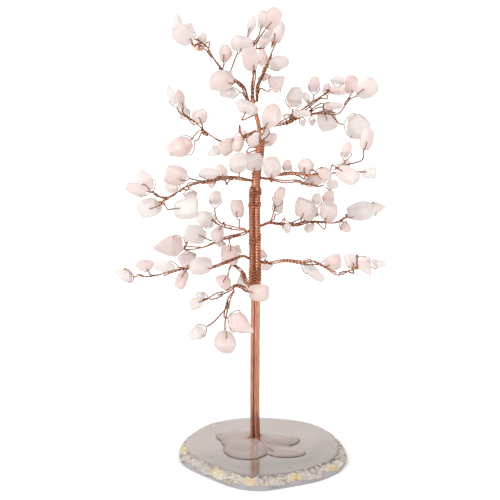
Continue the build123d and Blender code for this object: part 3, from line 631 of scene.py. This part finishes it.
def copper(name, light, dark, rough, drawn=(1, 1, 1)):
    """Copper: lighter where it is rubbed and darker where it has tarnished, in patches drawn along an axis.
    It is also painted darker by what its mesh holds: shade where twisted strands cross, and darkening at
    the trunk's foot.
    """
    material, nodes, shader = new_finish(name, Metallic=1.0, Specular_Tint=(0.6, 0.32, 0.22, 1))
    place = nodes.node("ShaderNodeTexCoord", output="Object")
    place = nodes.node("ShaderNodeVectorMath", {"operation": "MULTIPLY"}, {0: place, 1: drawn})
    patches = ramp(nodes, speckle(nodes, place, 190, 3), [(0.36, black), (0.66, white)])
    streaks = speckle(nodes, place, 1500, 2)
    # Painted shade where twisted strands cross, and the darkening at the trunk's foot, both held in the
    # mesh
    light_share = (patches * 0.4 + streaks * 1.2) * ranged(own(nodes, "dull"), 0.12, 0.6, 1, 0)
    feed(blend(nodes, light_share, dark, light), shader["Base Color"])
    feed(rough + 0.14 * streaks - 0.1 * patches, shader["Roughness"])
    feed(bump(nodes, streaks, 0.05 * MM, 0.6), shader["Normal"])
    return material


root_copper = copper("root wire", (0.70, 0.32, 0.19), (0.25, 0.10, 0.06), 0.3)
root_radius, root_strands, root_reach, root_pitch = 0.26 * MM, 3, 0.28 * MM, 9 * MM
roots = [smooth_line(started(line, lambda end: -end.z)) for line in middle_lines("root_wires", sides=6)]
mesh = wires(roots, root_copper, root_radius, root_strands, root_reach, root_pitch)
put("root_ropes", mesh, "tree", "root_wires")

trunk_step = 2 * MM
trunk_lines = {}
for node in ("trunk_strand_left", "trunk_strand_right", "trunk_strand_rear", "leader", "wrapped_stem",
             "wrapped_bundle_left", "wrapped_bundle_right"):
    line = started(middle_lines(node, sides=8)[0], lambda end: end.z)
    trunk_lines[node] = smooth_line(line, trunk_step)

# The lower trunk's rods, each with its share of their usual radius and its shift to the right. The
# right one is the thickest, and hides a little of the left one. They flare out, and their colour is
# darker towards their foot.
trunk_copper = copper("trunk wire", (0.60, 0.29, 0.20), (0.17, 0.06, 0.034), 0.16, (1, 1, 0.12))
rod_radius = 1.45 * MM
rods = {"trunk_strand_left": (0.8, 0.15 * MM), "trunk_strand_right": (1.26, -0.25 * MM),
        "trunk_strand_rear": (0.95, 0)}
waver, waver_length = 0.7 * MM, 40 * MM
flare, flare_height = 0.2, 10 * MM
foot_darkening, darkening_height = 0.36, 26 * MM
for node, (thickness, shift) in rods.items():
    line = [point + Vector((shift + waver * noise.noise(point / waver_length), 0, 0))
            for point in trunk_lines[node]]
    mesh = wires([line], trunk_copper, thickness * rod_radius, step=trunk_step, sides=36)
    # The colour is darkened towards the foot of each rod
    for vertex, dull in zip(mesh.vertices, mesh.attributes["dull"].data):
        low = vertex.co.z - slice_top
        dull.value = foot_darkening * max(0, 1 - low / darkening_height)
        if low < flare_height:
            grow = 1 + flare * (1 - max(0, low) / flare_height) ** 2
            vertex.co.x, vertex.co.y = vertex.co.x * grow, vertex.co.y * grow
    put(node + "_wires", mesh, "tree", node)

bare_copper = copper("bare copper", (0.74, 0.34, 0.20), (0.14, 0.045, 0.025), 0.26)
leader_radius, leader_strands, leader_reach, leader_pitch = 0.5 * MM, 5, 0.8 * MM, 16 * MM
mesh = wires([trunk_lines["leader"]], bare_copper, leader_radius, leader_strands, leader_reach,
             leader_pitch)
put("leader_wires", mesh, "tree", "leader")

# The wrapped lengths: one wire wound closely over a core coloured dark as painted shade in the grooves
# between its turns
wrap_copper = copper("wrapping wire", (0.86, 0.46, 0.32), (0.40, 0.16, 0.09), 0.24)
dull_copper = copper("dulled wrapping wire", (0.64, 0.29, 0.185), (0.31, 0.12, 0.07), 0.28)
# Painted shade: the core is coloured dark so that the grooves between the turns look shaded
painted_shade_core_copper = copper("wire under the wrapping, painted in shade", (0.30, 0.11, 0.06), (0.10, 0.035, 0.02), 0.4)
wrap_pitch, wrap_radius, wrap_steps = 0.95 * MM, 0.38 * MM, 24
core_depth = 1.3 * wrap_radius
bundle_radius, stem_radius = 2.1 * MM, 2.85 * MM
wrapped = {"wrapped_bundle_left": (bundle_radius, dull_copper),
           "wrapped_bundle_right": (bundle_radius, wrap_copper),
           "wrapped_stem": (stem_radius, wrap_copper)}
for node, (outer_radius, finish) in wrapped.items():
    wrapping = wires([trunk_lines[node]], finish, wrap_radius, reach=outer_radius - wrap_radius,
                     pitch=wrap_pitch, step=wrap_pitch / wrap_steps)
    core = wires([trunk_lines[node]], painted_shade_core_copper, outer_radius - core_depth, step=trunk_step, sides=16)
    put(node + "_turns", together([wrapping, core]), "tree", node)


# Bindings
# Single darker wires wound round the whole trunk to hold it together: the knot at the fork, and
# three shorter ones above it. Each has its number of turns, and how far they lean.
binding_copper = copper("binding wire", (0.52, 0.21, 0.12), (0.08, 0.026, 0.015), 0.26)
binding_turns = {"knot_binding": (5.5, 1.2 * MM), "middle_binding": (2.5, 1.1 * MM),
                 "upper_binding": (2, 0.3 * MM), "collar_binding": (2.5, 0.4 * MM)}
binding_radius = 0.36 * MM
binding_parts, turn_steps = 12, 36
for node, (turns, lean) in binding_turns.items():
    low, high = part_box(node)
    middle = (low + high) / 2
    foot = Vector((middle.x, middle.y, low.z + binding_radius))
    head = Vector((middle.x, middle.y, high.z - binding_radius))
    run = [foot.lerp(head, i / binding_parts) for i in range(binding_parts + 1)]
    pitch = (head - foot).length / turns
    mesh = wires([run], binding_copper, binding_radius, reach=(high.x - low.x) / 2 - binding_radius,
                 pitch=pitch, lean=lean, step=pitch / turn_steps, sides=8)
    put(node + "_wire", mesh, "tree", node)


# Limbs
# Each limb is three twisted pairs of fine wire, laid loosely together from inside the trunk. One
# after another they end, so that the limb gets thinner towards its tip. A fork is two such pairs.
limb_copper = copper("limb wire", (1.0, 0.56, 0.38), (0.15, 0.05, 0.03), 0.22)
fine_radius, pair_reach, pair_pitch = 0.27 * MM, 0.28 * MM, 4.6 * MM
limb_step = 1.2 * MM

# Each pair's share of the limb, how far the pairs lie from the limb's line, less at its root, how
# they turn round it, and how deep the first is rooted and how much less the next ones are
pair_ends = (1.0, 0.8, 0.55)
spread, spread_waver, spread_length = 0.75 * MM, 0.7, 11 * MM
root_spread, spread_gain = 0.55, 0.07
turn_rate = 0.07
rooted, rooted_less = 1.9 * MM, 0.3

# The sprays by their chips. The heart has no limb: its twigs leave the leader and the stem.
sprays = sorted(node.removesuffix("_chips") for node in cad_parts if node.endswith("_chips"))
limbs = [spray for spray in sprays if spray != "heart"]
bodies = {"heart": "tree", **{spray: spray for spray in limbs}}
limb_lines = {"heart": [trunk_lines["leader"], trunk_lines["wrapped_stem"]]}
for spray in limbs:
    limb_lines[spray] = [smooth_line(started(line, lambda end: end.xy.length), limb_step)
                         for line in middle_lines(spray + "_limb", sides=6)]


def nearest(point, places):
    return min(places, key=lambda place: (place - point).length)


def pair_line(line, k, end):
    """The line of pair k along a limb, up to a share of its length."""
    last = len(line) - 1
    pair = []
    for i in range(max(2, round(end * last)) + 1):
        i = min(i, last)
        run = (line[min(i + 1, last)] - line[max(i - 1, 0)]).normalized()
        side = run.cross(Vector(backwards)).normalized()
        turn = math.tau * k / len(pair_ends) + turn_rate * i
        apart = spread * (1 + spread_waver * noise.noise(line[i] / spread_length + Vector((0, 0, 5 * k))))
        apart *= min(1, root_spread + spread_gain * i)
        pair.append(line[i] + (side * math.cos(turn) + run.cross(side) * math.sin(turn)) * apart)
    return pair


trunk_line = trunk_lines["trunk_strand_rear"] + trunk_lines["wrapped_stem"] + trunk_lines["leader"]
for spray in limbs:
    pairs = []
    for line in limb_lines[spray]:
        forked = line is not limb_lines[spray][0]
        held_by = limb_lines[spray][0] if forked else trunk_line
        inwards = nearest(line[0], held_by) - line[0]
        inwards = inwards.normalized() * min(rooted, inwards.length)
        for k, end in enumerate(pair_ends[:2] if forked else pair_ends):
            pair = pair_line(line, k, end)
            pairs.append([pair[0] + inwards * (1 - rooted_less * k), *pair])
    # The pairs are painted in shade where their strands cross
    mesh = wires(pairs, limb_copper, fine_radius, 2, pair_reach, pair_pitch, crossing_shade=1)
    put(spray + "_limb_wires", mesh, bodies[spray], spray + "_limb")


# Twigs and loops
# A twig is one twisted pair that leaves its limb and opens into a loop. The loop is threaded
# through the hole of its stone and hugs the stone's end.
twig_copper = copper("twig wire", (0.92, 0.49, 0.33), (0.10, 0.033, 0.02), 0.24)
loop_copper = copper("loop wire", (0.42, 0.19, 0.12), (0.12, 0.045, 0.03), 0.3)
loop_radius, loop_step = 0.29 * MM, 0.5 * MM

# A twig's line has at most so many points, and a loop's has more. A twig starts so many points back
# on its limb.
most_twig_points = 4
points_back = 3
for spray in sprays:
    lines = middle_lines(spray + "_twigs", sides=3)
    loops = [line for line in lines if len(line) > most_twig_points]
    feet = [(loop[0] + loop[-1]) / 2 for loop in loops]
    twigs = []
    for twig in [line for line in lines if len(line) <= most_twig_points]:
        twig = started(twig, lambda end: -(nearest(end, feet) - end).length)
        near = nearest(twig[0], [point for limb in limb_lines[spray] for point in limb])
        start = twig[0].lerp(near, 0.5)
        if spray != "heart":
            limb = next(limb for limb in limb_lines[spray] if near in limb)
            start += limb[max(0, limb.index(near) - points_back)] - near
        twigs.append(smooth_line([start, *twig]))
    # The twigs' pairs are painted in shade where their strands cross
    pairs = wires(twigs, twig_copper, fine_radius, 2, pair_reach, pair_pitch, crossing_shade=1)
    hoops = wires([smooth_line(loop, loop_step) for loop in loops], loop_copper, loop_radius)
    put(spray + "_twig_wires", together([pairs, hoops]), bodies[spray], spray + "_twigs")


# Stones
# Drilled chips of rose quartz, tumbled until their corners are round. They are milky and nearly
# white, pinker in places, and each has its own tone.
tumbling = {"Rounding": 6, "Dent size": 2.8 * MM, "Dent depth": 0.8 * MM}
tumble_tool, stone = new_tool("tumbled stone", {
    "Rounding": "Int", "Dent size": "Float", "Dent depth": "Float", "Finish": "Material"})
shape = stone["Geometry"].node("GeometryNodeSubdivideMesh", sockets={0: stone["Geometry"], "Level": 3})
worn = shape.node("GeometryNodeBlurAttribute", {"data_type": "FLOAT_VECTOR"},
                  {"Value": shape.node("GeometryNodeInputPosition"), "Iterations": stone["Rounding"]})
shape = shape.node("GeometryNodeSetPosition", sockets={"Geometry": shape, "Position": worn})
dent = speckle(shape, shape.node("GeometryNodeInputPosition"), 1 / stone["Dent size"], 1)
push = scaled(shape.node("GeometryNodeInputNormal"), (dent - 0.5) * stone["Dent depth"])
shape = shape.node("GeometryNodeSetPosition", sockets={"Geometry": shape, "Offset": push})
finish_tool(tumble_tool, shape, stone["Finish"])

quartz, nodes, shader = new_finish("rose quartz", Transmission_Weight=0.35, Subsurface_Weight=0.3,
                                   Subsurface_Scale=0.004, Subsurface_Radius=(1.0, 0.75, 0.7), IOR=1.45,
                                   Coat_Roughness=0.1)
place = nodes.node("ShaderNodeTexCoord", output="Object")
cloud, veins = speckle(nodes, place, 110, 3), speckle(nodes, place, 420, 4)
milk = ramp(nodes, own(nodes, "tone") * 0.7 + cloud * 0.9 - 0.3,
            [(0.1, (0.94, 0.73, 0.69)), (0.4, (0.95, 0.79, 0.75)), (0.7, (0.96, 0.85, 0.815)),
             (0.95, (0.95, 0.895, 0.87))])
feed(blend(nodes, veins * 0.25, milk, (0.96, 0.92, 0.89)), shader["Base Color"])
feed(0.25 + 0.2 * veins, shader["Roughness"])
feed(0.1 + 0.15 * cloud, shader["Coat Weight"])
feed(bump(nodes, cloud + veins * 0.4, 0.25 * MM, 0.4), shader["Normal"])


def span(places, axis):
    """The lowest and the highest of places along an axis."""
    return [pick(place[axis] for place in places) for pick in (min, max)]


# The tones go round by the golden section, so that neighbours differ
tone_step = 0.618


def blank_stones(spray, first):
    """Hulls round a spray's chips, each with its own tone, and the chips' sizes by their tones."""
    copy, parts = loose_parts(spray + "_chips")
    blanks = bmesh.new()
    own_tone = blanks.verts.layers.float.new("tone")
    sizes = {}
    for number, part in enumerate(parts, first):
        tone = number * tone_step % 1
        corners = [blanks.verts.new(corner.co) for corner in part]
        for corner in corners:
            corner[own_tone] = tone
        hull = bmesh.ops.convex_hull(blanks, input=corners)
        spare = {item for item in hull["geom_interior"] + hull["geom_unused"]
                 if isinstance(item, bmesh.types.BMVert)}
        bmesh.ops.delete(blanks, geom=list(spare), context="VERTS")
        sizes[round(tone, 3)] = [span([corner.co for corner in part], axis) for axis in range(3)]
    copy.free()
    mesh = bpy.data.meshes.new("blanks")
    blanks.to_mesh(mesh)
    blanks.free()
    return mesh, sizes


# Tumbling shrinks a blank, so each stone is brought back to its chip's size
next_number = 1
for spray in sprays:
    blanks, sizes = blank_stones(spray, next_number)
    next_number += len(sizes)
    mesh = worked(blanks, tumble_tool, {**tumbling, "Finish": quartz})
    stones = {}
    for vertex, tone in zip(mesh.vertices, mesh.attributes["tone"].data):
        stones.setdefault(round(tone.value, 3), []).append(vertex)
    for key, size in sizes.items():
        for axis, (low, high) in enumerate(size):
            worn_low, worn_high = span([vertex.co for vertex in stones[key]], axis)
            for vertex in stones[key]:
                vertex.co[axis] = low + (vertex.co[axis] - worn_low) * (high - low) / (worn_high - worn_low)
    put(spray + "_stones", mesh, bodies[spray], spray + "_chips")
